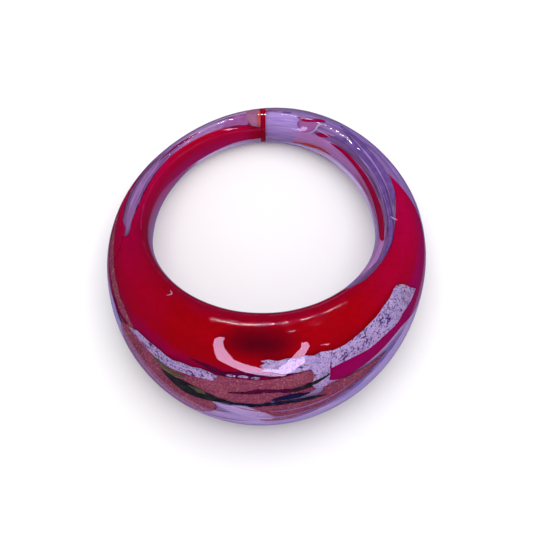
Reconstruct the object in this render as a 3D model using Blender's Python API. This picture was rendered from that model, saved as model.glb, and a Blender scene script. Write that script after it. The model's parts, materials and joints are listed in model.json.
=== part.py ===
"""A lampworked glass dome ring, lying on its side on a table.

A clear lilac heart is wound round a finger-sized mandrel between a thin finger band and an outer
casing. Colour lies on the heart, under the clear glass: red overlays, silver leaf, copper glitter
glass (aventurine), dark stringers and small chips. A red wafer closes the joint at the back.

Places on the ring are given as (around, section) in degrees. "around" runs round the finger hole,
0 at the middle of the dome, which faces -Y, and 90 at the right, +X. "section" runs round the
cross-section, 0 outwards, 90 up, 180 towards the finger and -90 down.
"""

import math

import bmesh
import bpy
import numpy as np
from mathutils import Vector

MM = 0.001

# The ring's own shape, mm and degrees.
HOLE_RADIUS = 8.75
HALF_HEIGHT_DOME, HALF_HEIGHT_BACK = 7.0, 1.7
HEIGHT_PEAK, HEIGHT_POWER = -4.5, 1.46
THICK_DOME, THICK_BACK = 6.48, 2.25
THICK_PEAK, THICK_POWER, THICK_SKEW = 6.5, 1.62, -0.33
SWELL, SWELL_PEAK, SWELL_POWER = 0.30, 165.0, 12  # the glass is thicker beside the joint
BACK_RISE = 0.12
ROUND_OUT, ROUND_IN, ROUND_UP = 2.03, 3.19, 2.2
# The dome is taller than the back, so the ring leans back as it lies.
LEAN = 14.2

# The clear glass over the heart, and what lies in the heart's surface.
SHELL_SHARE = 0.09  # of the thickness at that place
BAND_EDGE = 135.0  # section angle at which the casing ends and the finger band begins
RED_DEEP, GLITTER_DEEP, LEAF_DEEP, STRINGER_DEEP = 0.26, 0.20, 0.10, 0.14
GAP = 0.03  # between pieces, in depth
SIDE_GAP, FLOOR_GAP = 0.05, 0.07  # round an inlaid piece, and under it
WAFER_FROM, WAFER_TO = 177.35, 179.65

STEP_ROUND, STEP_SECTION = 9.0, 15.0

for old in list(bpy.data.objects):
    bpy.data.objects.remove(old, do_unlink=True)


def glass(name, colour, clear, rough=0.04, metal=0.0):
    material = bpy.data.materials.new(name)
    material.use_nodes = True
    shader = material.node_tree.nodes["Principled BSDF"]
    shader.inputs["Base Color"].default_value = (*colour, 1.0)
    shader.inputs["Transmission Weight"].default_value = clear
    shader.inputs["Roughness"].default_value = rough
    shader.inputs["Metallic"].default_value = metal
    shader.inputs["IOR"].default_value = 1.51
    material.diffuse_color = (*colour, 0.35 if clear else 1.0)
    return material


LILAC = glass("lilac_glass", (0.62, 0.45, 0.80), 1.0)
RED = glass("red_glass", (0.60, 0.005, 0.02), 0.0)
CRIMSON = glass("crimson_glass", (0.45, 0.005, 0.12), 0.0)
ORANGE = glass("orange_glass", (0.85, 0.25, 0.12), 0.0)
SILVER = glass("silver_leaf", (0.62, 0.55, 0.70), 0.0, 0.3, 1.0)
GLITTER = glass("aventurine", (0.36, 0.14, 0.15), 0.0, 0.3, 0.4)
DARK = glass("dark_green_glass", (0.01, 0.03, 0.03), 0.0)
NAVY = glass("navy_glass", (0.01, 0.015, 0.06), 0.0)
GREEN = glass("yellow_green_glass", (0.30, 0.36, 0.08), 0.0)


def spread(first, last, step):
    """Evenly spaced values from first up to, but not at, last."""
    return [first + k * step for k in range(math.ceil((last - first) / step - 1e-9))]


def signed_power(value, power):
    return math.copysign(abs(value) ** power, value)


def section_size(around):
    """Thickness and half height of the section at this angle, and how far its middle rises."""
    tall = (1 + math.cos(math.radians(around - HEIGHT_PEAK))) / 2
    thick = (1 + math.cos(math.radians(around - THICK_PEAK))) / 2
    height = HALF_HEIGHT_BACK + (HALF_HEIGHT_DOME - HALF_HEIGHT_BACK) * tall**HEIGHT_POWER
    depth = THICK_BACK + (THICK_DOME - THICK_BACK) * thick**THICK_POWER
    depth += THICK_SKEW * math.sin(math.radians(2 * around))
    depth += SWELL * ((1 + math.cos(math.radians(around - SWELL_PEAK))) / 2) ** SWELL_POWER
    return depth, height, BACK_RISE * (1 - tall)


def on_section(around, section, under):
    """A point of the section's curve, set `under` mm inside the outside surface."""
    thick, height, rise = section_size(around)
    c, s = math.cos(math.radians(section)), math.sin(math.radians(section))
    across = signed_power(c, 2 / (ROUND_IN if c < 0 else ROUND_OUT))
    up = signed_power(s, 2 / ROUND_UP)
    radius = HOLE_RADIUS + thick / 2 + (thick / 2 - under) * across
    turn = math.radians(around)
    return Vector((radius * math.sin(turn), -radius * math.cos(turn), (height - under) * up + rise))


def shell(around):
    return SHELL_SHARE * section_size(around)[0]


def ring_point(around, section, under=0.0, below_shell=True):
    """A point on the faceted ring, so that pieces laid over each other keep their gap."""
    i, j = math.floor(around / STEP_ROUND + 1e-9), math.floor(section / STEP_SECTION + 1e-9)
    s, t = around / STEP_ROUND - i, section / STEP_SECTION - j
    point = Vector((0, 0, 0))
    for di, dj, share in ((0, 0, (1 - s) * (1 - t)), (1, 0, s * (1 - t)), (0, 1, (1 - s) * t), (1, 1, s * t)):
        a = (i + di) * STEP_ROUND
        depth = under + (shell(a) if below_shell else 0.0)
        point += share * on_section(a, (j + dj) * STEP_SECTION, depth)
    return point


# Where the lying ring sits: lowest point on the table, bounding box centred on the origin.
COS_LEAN, SIN_LEAN = math.cos(math.radians(LEAN)), math.sin(math.radians(LEAN))


def leaned(point):
    return Vector((point.x, point.y * COS_LEAN + point.z * SIN_LEAN, point.z * COS_LEAN - point.y * SIN_LEAN))


ALL_ROUND, ALL_SECTION = spread(-180.0, 180.0, STEP_ROUND), spread(0.0, 360.0, STEP_SECTION)
OUTSIDE = np.array([leaned(on_section(a, u, 0.0)) for a in ALL_ROUND for u in ALL_SECTION])
LOW, HIGH = OUTSIDE.min(axis=0).tolist(), OUTSIDE.max(axis=0).tolist()
SEAT = Vector(((LOW[0] + HIGH[0]) / 2, (LOW[1] + HIGH[1]) / 2, LOW[2]))


def solid(name, points, faces, material, cutter=False):
    """An object from points in the ring's own frame, placed as the ring lies."""
    mesh = bpy.data.meshes.new(name)
    mesh.from_pydata([leaned(p) - SEAT for p in points], [], faces)
    work = bmesh.new()
    work.from_mesh(mesh)
    bmesh.ops.triangulate(work, faces=work.faces)
    bmesh.ops.recalc_face_normals(work, faces=work.faces)
    work.to_mesh(mesh)
    work.free()
    mesh.polygons.foreach_set("use_smooth", [not cutter] * len(mesh.polygons))
    mesh.materials.append(material)
    obj = bpy.data.objects.new(name, mesh)
    obj.scale = (MM, MM, MM)
    bpy.context.collection.objects.link(obj)
    if cutter:
        obj.hide_render, obj.display_type = True, "WIRE"
    return obj


def swept(name, profile, arounds, material, close):
    """A closed section profile carried round the ring; `profile(around)` gives its points."""
    rings = [profile(a) for a in arounds]
    n, points, faces = len(rings[0]), [p for ring in rings for p in ring], []
    last = len(rings) if close else len(rings) - 1
    for i in range(last):
        k = (i + 1) % len(rings)
        faces += [(i * n + j, i * n + (j + 1) % n, k * n + (j + 1) % n, k * n + j) for j in range(n)]
    if not close:
        faces += [tuple(range(n)), tuple(range((last + 1) * n - 1, last * n - 1, -1))]
    return solid(name, points, faces, material)


# --- the three clear glass pieces -------------------------------------------------------------

def shell_profile(first, last):
    """The strip of clear shell between two section angles: out along the surface, back under it."""
    inner = spread(math.ceil(first / STEP_SECTION) * STEP_SECTION, last, STEP_SECTION)
    sections = [first] + inner + [last]

    def profile(around):
        over = [ring_point(around, u, 0.0, False) for u in sections]
        return over + [ring_point(around, u) for u in reversed(sections)]

    return profile


CUT = 0.6  # half the parting between casing and finger band, in degrees of section
casing = swept("outer_casing", shell_profile(-BAND_EDGE + CUT, BAND_EDGE - CUT), ALL_ROUND, LILAC, True)
band = swept("finger_band", shell_profile(BAND_EDGE + CUT, 360 - BAND_EDGE - CUT), ALL_ROUND, LILAC, True)


def heart_profile(around):
    return [ring_point(around, u, GAP) for u in ALL_SECTION]


heart = swept("lilac_heart", heart_profile, ALL_ROUND + [WAFER_FROM - 0.35], LILAC, False)
wafer = swept("seam_wafer", heart_profile, [WAFER_FROM, WAFER_TO], RED, False)

# --- inlaid pieces ----------------------------------------------------------------------------


def scale_at(spot):
    """Millimetres per degree, around and along the section."""
    a, u = spot
    here = ring_point(a, u)
    return (ring_point(a + 1, u) - here).length, (ring_point(a, u + 1) - here).length


def side_normal(start, end, scale):
    x, y = (end[0] - start[0]) * scale[0], (end[1] - start[1]) * scale[1]
    size = math.hypot(x, y) or 1.0
    return Vector((y / size, -x / size))


def anticlockwise(outline):
    area = sum(p[0] * q[1] - q[0] * p[1] for p, q in zip(outline, outline[1:] + outline[:1]))
    return outline if area > 0 else outline[::-1]


def grown(outline, distance):
    """The outline moved outwards by a distance in mm."""
    outline, moved = anticlockwise(outline), []
    for i, spot in enumerate(outline):
        scale = scale_at(spot)
        one = side_normal(outline[i - 1], spot, scale)
        two = side_normal(spot, outline[(i + 1) % len(outline)], scale)
        mid = (one + two).normalized()
        shift = mid * distance / max(0.45, mid.dot(one))
        moved.append((spot[0] + shift.x / scale[0], spot[1] + shift.y / scale[1]))
    return moved


def rounded(outline, parts=3):
    """A smooth closed curve through the points."""
    count, curve = len(outline), []
    for i in range(count):
        p0, p1, p2, p3 = (Vector(outline[(i + k - 1) % count]) for k in range(4))
        for k in range(parts):
            t = k / parts
            bent = 2 * p1 + (p2 - p0) * t + (2 * p0 - 5 * p1 + 4 * p2 - p3) * t**2 + (3 * p1 - 3 * p2 + p3 - p0) * t**3
            curve.append(tuple(bent / 2))
    return curve


def ribbon(path, width):
    """The outline of a strip of this width in mm along a path, drawn out thin at both ends."""
    right, left = [], []
    for i, spot in enumerate(path):
        scale = scale_at(spot)
        out = side_normal(path[max(i - 1, 0)], path[min(i + 1, len(path) - 1)], scale)
        half = width / 2 * (0.3 if i in (0, len(path) - 1) else 1.0)
        right.append((spot[0] + out.x * half / scale[0], spot[1] + out.y * half / scale[1]))
        left.append((spot[0] - out.x * half / scale[0], spot[1] - out.y * half / scale[1]))
    return right + left[::-1]


def laid(name, outline, over, under, material, shift=0.0):
    """A thin solid that follows the heart's surface between two depths, with this outline.

    A pocket is creased a little to one side of the heart's own creases, which keeps the cut clean.
    """
    flat = bmesh.new()
    flat.faces.new([flat.verts.new((a, u, 0)) for a, u in anticlockwise(outline)])
    for axis, step in ((0, STEP_ROUND), (1, STEP_SECTION)):
        low, high = min(p[axis] for p in outline), max(p[axis] for p in outline)
        for k in range(math.ceil(low / step - shift), math.floor(high / step - shift) + 1):
            crease = (k + shift) * step
            place = Vector((crease, 0, 0)) if axis == 0 else Vector((0, crease, 0))
            normal = Vector((1, 0, 0)) if axis == 0 else Vector((0, 1, 0))
            parts = flat.verts[:] + flat.edges[:] + flat.faces[:]
            bmesh.ops.bisect_plane(flat, geom=parts, dist=1e-4, plane_co=place, plane_no=normal)
    bmesh.ops.triangulate(flat, faces=flat.faces)
    flat.verts.index_update()
    n = len(flat.verts)
    points = [ring_point(v.co.x, v.co.y, over) for v in flat.verts]
    points += [ring_point(v.co.x, v.co.y, under) for v in flat.verts]
    faces = [tuple(v.index for v in f.verts) for f in flat.faces]
    faces += [tuple(i + n for i in reversed(f)) for f in faces]
    for edge in flat.edges:
        if edge.is_boundary:
            loop = edge.link_loops[0]
            i, k = loop.vert.index, loop.link_loop_next.vert.index
            faces.append((i, i + n, k + n, k))
    flat.free()
    return solid(name, points, faces, material, shift > 0)


def inlay(name, outline, depth, material, hosts):
    """The piece, and the pocket for it in whatever it is let into."""
    piece = laid(name, outline, 2 * GAP, 2 * GAP + depth, material)
    floor = 2 * GAP + depth + FLOOR_GAP
    pocket = laid(name + "_pocket", grown(outline, SIDE_GAP), -0.15, floor, material, 0.08 + depth / 2)
    for host in hosts:
        cut = host.modifiers.new(name, "BOOLEAN")
        cut.operation, cut.solver, cut.object = "DIFFERENCE", "EXACT", pocket
    return piece


# Red glass: laid over the dome, and along the finger side of the band on the left to the joint.
DOME_RED = [
    (111, 78), (101, 71), (88, 59), (76, 40), (67, 23), (57, 12), (44, 11), (30, 10), (19, 12), (8, 27), (-4, 40),
    (-17, 41), (-30, 39), (-42, 36), (-52, 37), (-62, 45), (-72, 55), (-77, 68), (-77, 90), (-76.2, 118), (-74, 144),
    (-60, 150), (-40, 152), (-20, 152), (0, 152), (20, 150), (33, 138), (45, 117), (59, 109), (71, 103), (83, 100),
    (100, 88),
]
BACK_RED = [
    (-80.5, 96), (-99, 108), (-125, 101), (-142, 102), (-159, 107), (-171, 128), (-176, 152), (-176, 200),
    (-168, 205), (-154, 222), (-138, 222), (-120, 218), (-104, 208), (-88, 190), (-80, 160), (-79.2, 120),
]
dome_red = inlay("red_dome_overlay", rounded(DOME_RED, 2), RED_DEEP, RED, [heart])
back_red = inlay("red_back_ribbon", rounded(BACK_RED, 2), RED_DEEP, RED, [heart])
CRIMSON_EDGE = [(-85, 62), (-95, 57), (-108, 47), (-122, 37), (-134, 30)]
inlay("crimson_edge_streak", rounded(ribbon(CRIMSON_EDGE, 0.5), 1), RED_DEEP, CRIMSON, [heart])
inlay("crimson_chip_outer", rounded([(155, 78), (162, 72), (164, 88), (157, 96)], 2), RED_DEEP, CRIMSON, [heart])
inlay("crimson_chip_inner", rounded([(145, 104), (150, 111), (151, 128), (145.5, 120)], 2), RED_DEEP, CRIMSON, [heart])
# Fine wisps of colour against the finger side of the band on the right.
CRESCENT = [(143, 132), (132, 137), (121, 143), (110, 147), (98, 146), (88, 142), (78, 134)]
inlay("red_wisp_crescent", rounded(ribbon(CRESCENT, 0.42), 1), STRINGER_DEEP, RED, [heart])
inlay("red_wisp_thin", ribbon([(121, 166), (110, 171), (99, 168), (88, 158), (82, 149)], 0.22), STRINGER_DEEP, RED, [heart])
inlay("orange_wisp", ribbon([(161, 194), (152, 189), (142, 181)], 0.36), STRINGER_DEEP, ORANGE, [heart])

# Copper glitter glass across the lower front of the dome and down its left edge.
GLITTER_LEFT = [(-50, 14), (-44, 20), (-37, 19), (-28, 22), (-19, 17), (-19, -2), (-28, -21), (-38, -29), (-49, -24)]
GLITTER_MID = [(-16.5, 28), (-8, 31), (0, 28), (8, 18.5), (14, 8), (14, 1), (5, 4), (-6, 6), (-17, 4)]
GLITTER_LOW = [(-3.5, 0), (5, -2), (13, -8), (13.5, -30), (5, -36), (-4, -32)]
GLITTER_RIGHT = [(17, 5.5), (27, 4), (33, -6), (32, -20), (25, -30), (16.5, -24), (15.5, -6)]
left_glitter = inlay("aventurine_left", rounded(GLITTER_LEFT, 2), GLITTER_DEEP, GLITTER, [heart])
mid_glitter = inlay("aventurine_centre", rounded(GLITTER_MID, 2), GLITTER_DEEP, GLITTER, [heart])
inlay("aventurine_lower", rounded(GLITTER_LOW, 2), GLITTER_DEEP, GLITTER, [heart])
right_glitter = inlay("aventurine_right", rounded(GLITTER_RIGHT, 2), GLITTER_DEEP, GLITTER, [heart])
EDGE_PATH = [(-83, 36), (-77, 35), (-70, 31), (-62, 27), (-55, 24), (-51.5, 23)]
inlay("aventurine_edge_streak", ribbon(EDGE_PATH, 0.55), GLITTER_DEEP, GLITTER, [heart])

# Torn silver leaf, in three pieces, and three specks of it.
LEAF_RIGHT = [
    (61, 26), (55, 25), (51, 29), (45.5, 27), (40, 31), (35.5, 29), (30, 32), (25.5, 30), (23, 36), (22, 49),
    (28, 56), (33, 57), (37, 61), (43, 60), (45.5, 64), (50, 63), (53.5, 67), (56, 57), (57, 48), (60, 40),
]
LEAF_CENTRE = [
    (-2, 46), (1, 37), (5, 35), (9, 28), (15, 26), (18, 30), (21, 33), (20.5, 52), (16, 57), (10, 55), (5, 58), (-1, 56),
]
LEAF_LEFT = [
    (-48.5, 24), (-46, 15), (-41, 22), (-38, 21.5), (-33, 27), (-30, 25), (-25, 29), (-21, 26), (-16, 29),
    (-16.5, 36), (-21, 38), (-26, 35), (-31, 39), (-36, 35), (-41, 35), (-45, 29),
]
inlay("silver_leaf_right", LEAF_RIGHT, LEAF_DEEP, SILVER, [heart, dome_red])
inlay("silver_leaf_centre", LEAF_CENTRE, LEAF_DEEP, SILVER, [heart, dome_red])
inlay("silver_leaf_left", LEAF_LEFT, LEAF_DEEP, SILVER, [heart, dome_red, left_glitter])
SPECKS = ((-11.5, 35, 1.6), (-8, 37, 1.2), (-4.6, 35, 1.4))
for count, (a, u, size) in enumerate(SPECKS):
    corners = [(a - size, u - 2), (a + size * 0.8, u - 1.2), (a + size, u + 1.6), (a - size * 0.7, u + 2.2)]
    inlay(f"silver_speck_{'abc'[count]}", corners, LEAF_DEEP, SILVER, [heart])

# Dark stringers melted over the glitter, and one chip of yellow-green.
inlay("dark_stringer_left", ribbon([(-34, 9), (-27, 4), (-21, -3), (-15, -5)], 1.0), STRINGER_DEEP, DARK, [heart, left_glitter])
inlay("yellow_green_chip", [(-22.5, 6.5), (-18.5, 5.5), (-17.6, 11.5), (-21.6, 12)], STRINGER_DEEP, GREEN, [heart, left_glitter])
NAVY_PATH = [(-14.5, -0.5), (-8, 2), (-1, 3), (4, 1), (10, -2)]
inlay("navy_stringer", ribbon(NAVY_PATH, 0.38), STRINGER_DEEP, NAVY, [heart, mid_glitter])
inlay("navy_green_smear", ribbon([(0.5, 13), (5, 12), (11, 8)], 0.7), STRINGER_DEEP, NAVY, [heart, mid_glitter])
inlay("dark_green_streak", ribbon([(9, 20.5), (14, 19.5), (19.5, 21.5)], 0.6), STRINGER_DEEP, DARK, [heart, dome_red, mid_glitter])
inlay("dark_green_lower", ribbon([(12, -3.5), (16, -1), (22, 1)], 0.4), STRINGER_DEEP, DARK, [heart, right_glitter])
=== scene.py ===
# %% [markdown]
# # A lampworked glass dome ring
#
# The real ring is one solid lump of soda glass. A lampworker winds clear lilac glass round a
# finger-sized mandrel, lays colour, silver leaf and copper glitter on it, and cases the whole
# thing in more clear glass. So there are only two kinds of thing to make: the clear body, which
# bends light, and the thin coloured pieces that lie just under its skin.
#
# Everything follows one rule: a cross-section that is tall and thick at the dome and small at
# the back, carried round the finger hole. We write that rule once, as Geometry Nodes maths, and
# use it twice: to make the body, and to lay flat-made pieces on it.

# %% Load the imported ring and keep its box
import json
import math
import random

import bmesh
import bpy
from mathutils import Matrix, Vector


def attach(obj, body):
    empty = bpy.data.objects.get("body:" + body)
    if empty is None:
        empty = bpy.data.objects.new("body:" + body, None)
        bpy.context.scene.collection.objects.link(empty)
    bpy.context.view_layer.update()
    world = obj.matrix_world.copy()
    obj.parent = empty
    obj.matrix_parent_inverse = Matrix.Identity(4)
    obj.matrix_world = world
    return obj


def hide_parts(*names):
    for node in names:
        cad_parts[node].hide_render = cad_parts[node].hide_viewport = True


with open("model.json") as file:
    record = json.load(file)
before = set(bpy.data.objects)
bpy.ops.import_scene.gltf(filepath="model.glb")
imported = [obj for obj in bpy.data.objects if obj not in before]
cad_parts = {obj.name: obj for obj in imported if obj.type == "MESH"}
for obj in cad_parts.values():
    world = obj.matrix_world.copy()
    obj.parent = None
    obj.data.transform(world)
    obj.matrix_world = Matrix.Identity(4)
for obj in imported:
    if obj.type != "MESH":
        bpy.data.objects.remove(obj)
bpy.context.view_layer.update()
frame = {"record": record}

MM = 0.001
hole_centre = Vector(frame["record"]["mounts"][0]["pos_m"])

# %% [markdown]
# ## Writing node trees as sums
#
# Geometry and shader nodes share the same Math node, so one small wrapper serves both. A `Sock`
# is one output of a node. Adding, multiplying or comparing it adds a Math node, so a formula
# reads as a formula. `Net.node` makes any other node: type, settings, then inputs. The small
# methods after it are only short names for nodes that come up again and again.


# %% A socket that can be added and multiplied
class Sock:
    def __init__(self, net, socket):
        self.net, self.socket = net, socket

    def maths(self, kind, *others, first=None):
        values = [self, *others] if first is None else [first, self]
        return self.net.node("ShaderNodeMath", {"operation": kind}, values)

    def __add__(self, other):
        return self.maths("ADD", other)

    def __sub__(self, other):
        return self.maths("SUBTRACT", other)

    def __rsub__(self, other):
        return self.maths("SUBTRACT", first=other)

    def __mul__(self, other):
        return self.maths("MULTIPLY", other)

    def __truediv__(self, other):
        return self.maths("DIVIDE", other)

    def __rtruediv__(self, other):
        return self.maths("DIVIDE", first=other)

    def __pow__(self, other):
        return self.maths("POWER", other)

    def __gt__(self, other):
        return self.maths("GREATER_THAN", other)

    def __lt__(self, other):
        return self.maths("LESS_THAN", other)

    __radd__, __rmul__ = __add__, __mul__

    def held(self, low=0.0, high=1.0):
        return self.maths("MAXIMUM", low).maths("MINIMUM", high)


# %% A node tree that makes its nodes in one call
class Net:
    def __init__(self, tree):
        self.tree = tree

    def put(self, socket, value):
        if isinstance(value, Sock):
            self.tree.links.new(value.socket, socket)
        elif value is not None:
            socket.default_value = value

    def node(self, kind, settings=None, inputs=None, out=0):
        made = self.tree.nodes.new(kind)
        for name, value in (settings or {}).items():
            if name == "stops":
                ramp = made.color_ramp.elements
                while len(ramp) < len(value):
                    ramp.new(0.5)
                for stop, (place, colour) in zip(ramp, value):
                    stop.position, stop.color = place, (*colour, 1.0)
            else:
                setattr(made, name, value)
        pairs = inputs.items() if isinstance(inputs, dict) else enumerate(inputs or [])
        for name, value in pairs:
            self.put(made.inputs[name], value)
        return Sock(self, made.outputs[out])

    def angles(self, place, count):
        return [self.node("ShaderNodeSeparateXYZ", {}, [place], i) for i in range(count)]

    def on_piece(self):
        return self.node("ShaderNodeTexCoord", {}, {}, "Object")

    def noise(self, place, scale, out=0, **more):
        more = {name.title(): value for name, value in more.items()}
        return self.node("ShaderNodeTexNoise", {}, {"Vector": place, "Scale": scale, **more}, out)

    def blend(self, share, first, second):
        """The first colour where the share is 0, the second where it is 1."""
        sides = {0: share, 6: first, 7: second}
        return self.node("ShaderNodeMix", {"data_type": "RGBA"}, sides, 2)


# %% [markdown]
# ## The ring's rule
#
# A place on the ring is two angles and a depth. *Around* runs round the hole, 0 at the middle of
# the dome. *Section* runs round the cross-section, 0 outwards, 90 up, 180 at the finger. *Under*
# is how many millimetres the point lies inside the glass. The section is a superellipse, which is
# flatter than an ellipse on the finger side. Its size swells smoothly from back to dome. The ring
# lies on its side, so the result leans back until dome and back both touch the table.

# %% Sizes
SIZES = {
    "Hole Radius": 8.75,
    "Dome Half Height": 7.0,
    "Back Half Height": 1.7,
    "Dome Thickness": 6.48,
    "Back Thickness": 2.25,
    "Lean": 14.2,
}
HEIGHT_PEAK, HEIGHT_POWER = -4.5, 1.46
THICK_PEAK, THICK_POWER, THICK_SKEW = 6.5, 1.62, -0.33
SWELL, SWELL_PEAK, SWELL_POWER = 0.30, 165.0, 12
BACK_RISE = 0.12
ROUND_OUT, ROUND_IN, ROUND_UP = 2.03, 3.19, 2.2
SHELL_SHARE = 0.09
print("sizes in mm and degrees:", SIZES)


# %% The rule
def signed_power(value, power):
    return value.maths("SIGN") * value.maths("ABSOLUTE") ** power


def ring_rule(net, sizes, around, section, depth, from_shell):
    """Nodes that turn (around, section, depth) into a point in metres."""
    turn, tilt = around * math.radians(1), section * math.radians(1)
    tall = ((turn - math.radians(HEIGHT_PEAK)).maths("COSINE") + 1) * 0.5
    thick = ((turn - math.radians(THICK_PEAK)).maths("COSINE") + 1) * 0.5
    dome, back = sizes["Dome Half Height"], sizes["Back Half Height"]
    height = back + (dome - back) * tall**HEIGHT_POWER
    broad, narrow = sizes["Dome Thickness"], sizes["Back Thickness"]
    wall = narrow + (broad - narrow) * thick**THICK_POWER
    wall = wall + (turn * 2).maths("SINE") * THICK_SKEW
    beside_joint = ((turn - math.radians(SWELL_PEAK)).maths("COSINE") + 1) * 0.5
    wall = wall + beside_joint**SWELL_POWER * SWELL
    under = depth + wall * SHELL_SHARE if from_shell else depth
    c, s = tilt.maths("COSINE"), tilt.maths("SINE")
    power = (c < 0) * (2 / ROUND_IN - 2 / ROUND_OUT) + 2 / ROUND_OUT
    across, up = signed_power(c, power), signed_power(s, 2 / ROUND_UP)
    radius = sizes["Hole Radius"] + wall * 0.5 + (wall * 0.5 - under) * across
    x, y = radius * turn.maths("SINE"), radius * turn.maths("COSINE") * -1
    z = (height - under) * up + (1 - tall) * BACK_RISE
    lean = sizes["Lean"] * math.radians(1)
    cos_lean, sin_lean = lean.maths("COSINE"), lean.maths("SINE")
    leaned = [x, y * cos_lean + z * sin_lean, z * cos_lean - y * sin_lean]
    point = net.node("ShaderNodeCombineXYZ", {}, leaned)
    placing = [point, (MM,) * 3, tuple(hole_centre)]
    return net.node("ShaderNodeVectorMath", {"operation": "MULTIPLY_ADD"}, placing)


# %% [markdown]
# ## A tree with named sizes
#
# Each Geometry Nodes tree starts the same way: named number inputs for the ring's sizes, and an
# input for the material. `grown_mesh` puts the tree on an object, sets every input by its socket
# identifier, and turns the evaluated result into a plain mesh, because the modifier must be gone
# before the piece is handed over.


# %% Start a tree, and end one
def new_tree(name, extra=()):
    tree = bpy.data.node_groups.new(name, "GeometryNodeTree")
    face = tree.interface
    face.new_socket("Geometry", in_out="INPUT", socket_type="NodeSocketGeometry")
    for label in (*SIZES, *extra):
        face.new_socket(label, in_out="INPUT", socket_type="NodeSocketFloat")
    face.new_socket("Material", in_out="INPUT", socket_type="NodeSocketMaterial")
    face.new_socket("Geometry", in_out="OUTPUT", socket_type="NodeSocketGeometry")
    net = Net(tree)
    entry = tree.nodes.new("NodeGroupInput")
    given = {s.name: Sock(net, s) for s in entry.outputs if s.name}
    return tree, net, given


def end_tree(tree, net, geometry, material):
    geometry = net.node("GeometryNodeSetShadeSmooth", {}, {"Geometry": geometry})
    geometry = net.node("GeometryNodeRealizeInstances", {}, [geometry])
    geometry = net.node("GeometryNodeSetMaterial", {}, {"Geometry": geometry, "Material": material})
    net.put(tree.nodes.new("NodeGroupOutput").inputs[0], geometry)


# %% From tree to plain mesh
def grown_mesh(name, mesh, tree, material, **extra):
    """The mesh that the tree makes from this one, as a plain object at the origin."""
    start = bpy.data.objects.new(name + "_flat", mesh)
    bpy.context.scene.collection.objects.link(start)
    modifier = start.modifiers.new("tree", "NODES")
    modifier.node_group = tree
    wanted = {name.replace("_", " ").title(): value for name, value in extra.items()}
    wanted = {**SIZES, **wanted, "Material": material}
    for item in tree.interface.items_tree:
        if item.in_out == "INPUT" and item.name in wanted:
            modifier[item.identifier] = wanted[item.name]
    bpy.context.view_layer.update()
    evaluated = start.evaluated_get(bpy.context.evaluated_depsgraph_get())
    result = bpy.data.meshes.new_from_object(evaluated)
    bpy.data.objects.remove(start)
    piece = bpy.data.objects.new(name, result)
    bpy.context.scene.collection.objects.link(piece)
    print(f"{name}: {len(result.vertices)} points, {len(result.polygons)} faces")
    return piece


# %% [markdown]
# ## Camera, table and light
#
# The ring is seen from high in front, through a long lens, so that it hardly tapers. The table
# and the surround are pale and even. Glass shows mostly what it mirrors, so a few things are
# hung for it alone: a dark tent over a lilac bowl, an open hoop of light cloth in front, and rows
# of small lamps behind. Only mirror reflections can see them, so the glass stays clear of haze
# while the light that falls on the colours under it comes from the pale surround and one softbox.

# %% The camera
VIEW_HEIGHT, VIEW_DISTANCE, VIEW_ROLL = 76.2, 200 * MM, math.radians(-1.87)
VIEW_WIDTH, FILM_WIDTH = 42.2 * MM, 36.0
AIM_RIGHT, AIM_UP = 0.21 * MM, -2.52 * MM
rise = math.radians(VIEW_HEIGHT)
toward_camera = Vector((0, -math.cos(rise), math.sin(rise)))
level, overhead = Vector((1, 0, 0)), toward_camera.cross(Vector((1, 0, 0)))
right = level * math.cos(VIEW_ROLL) + overhead * math.sin(VIEW_ROLL)
upward = overhead * math.cos(VIEW_ROLL) - level * math.sin(VIEW_ROLL)
place = hole_centre + toward_camera * VIEW_DISTANCE
aim = hole_centre + right * AIM_RIGHT + upward * AIM_UP
lens = bpy.data.cameras.new("camera")
lens.sensor_width = FILM_WIDTH
lens.lens = VIEW_DISTANCE / VIEW_WIDTH * FILM_WIDTH
lens.clip_start, lens.clip_end = 0.005, 20.0
camera = bpy.data.objects.new("camera", lens)
bpy.context.scene.collection.objects.link(camera)
facing = (aim - place).to_track_quat("-Z", "Y").to_matrix().to_4x4()
camera.matrix_world = Matrix.Translation(place) @ facing @ Matrix.Rotation(VIEW_ROLL, 4, "Z")
bpy.context.scene.camera = camera
bpy.context.scene.view_settings.view_transform = "Standard"
print("lens", round(lens.lens, 1), "mm")


# %% Materials for the stage
def new_material(name):
    material = bpy.data.materials.new(name)
    material.use_nodes = True
    material.node_tree.nodes.clear()
    return material, Net(material.node_tree)


def show(net, shader, volume=None):
    output = net.tree.nodes.new("ShaderNodeOutputMaterial")
    net.put(output.inputs["Surface"], shader)
    net.put(output.inputs["Volume"], volume)


def glow(name, colour, strength):
    material, net = new_material(name)
    show(net, net.node("ShaderNodeEmission", {}, [(*colour, 1.0), strength]))
    return material


table_paint, net = new_material("pale_table")
grain = net.noise(None, 90.0, detail=3.0)
table_white = net.blend(grain, (0.86, 0.86, 0.865, 1), (0.88, 0.88, 0.88, 1))
show(net, net.node("ShaderNodeBsdfPrincipled", {}, {
    "Base Color": table_white, "Roughness": 0.7, "Specular IOR Level": 0.1}))

# %% Table, surround and lamps
bpy.ops.mesh.primitive_plane_add(size=6.0, location=(0, 0, 0))
table = bpy.context.object
table.name = "table"
table.data.materials.append(table_paint)
table.visible_glossy = False

world = bpy.data.worlds.new("surround")
bpy.context.scene.world = world
world.use_nodes = True
surround = world.node_tree.nodes["Background"].inputs
surround["Color"].default_value = (1.0, 0.99, 1.0, 1)
surround["Strength"].default_value = 0.85

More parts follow.
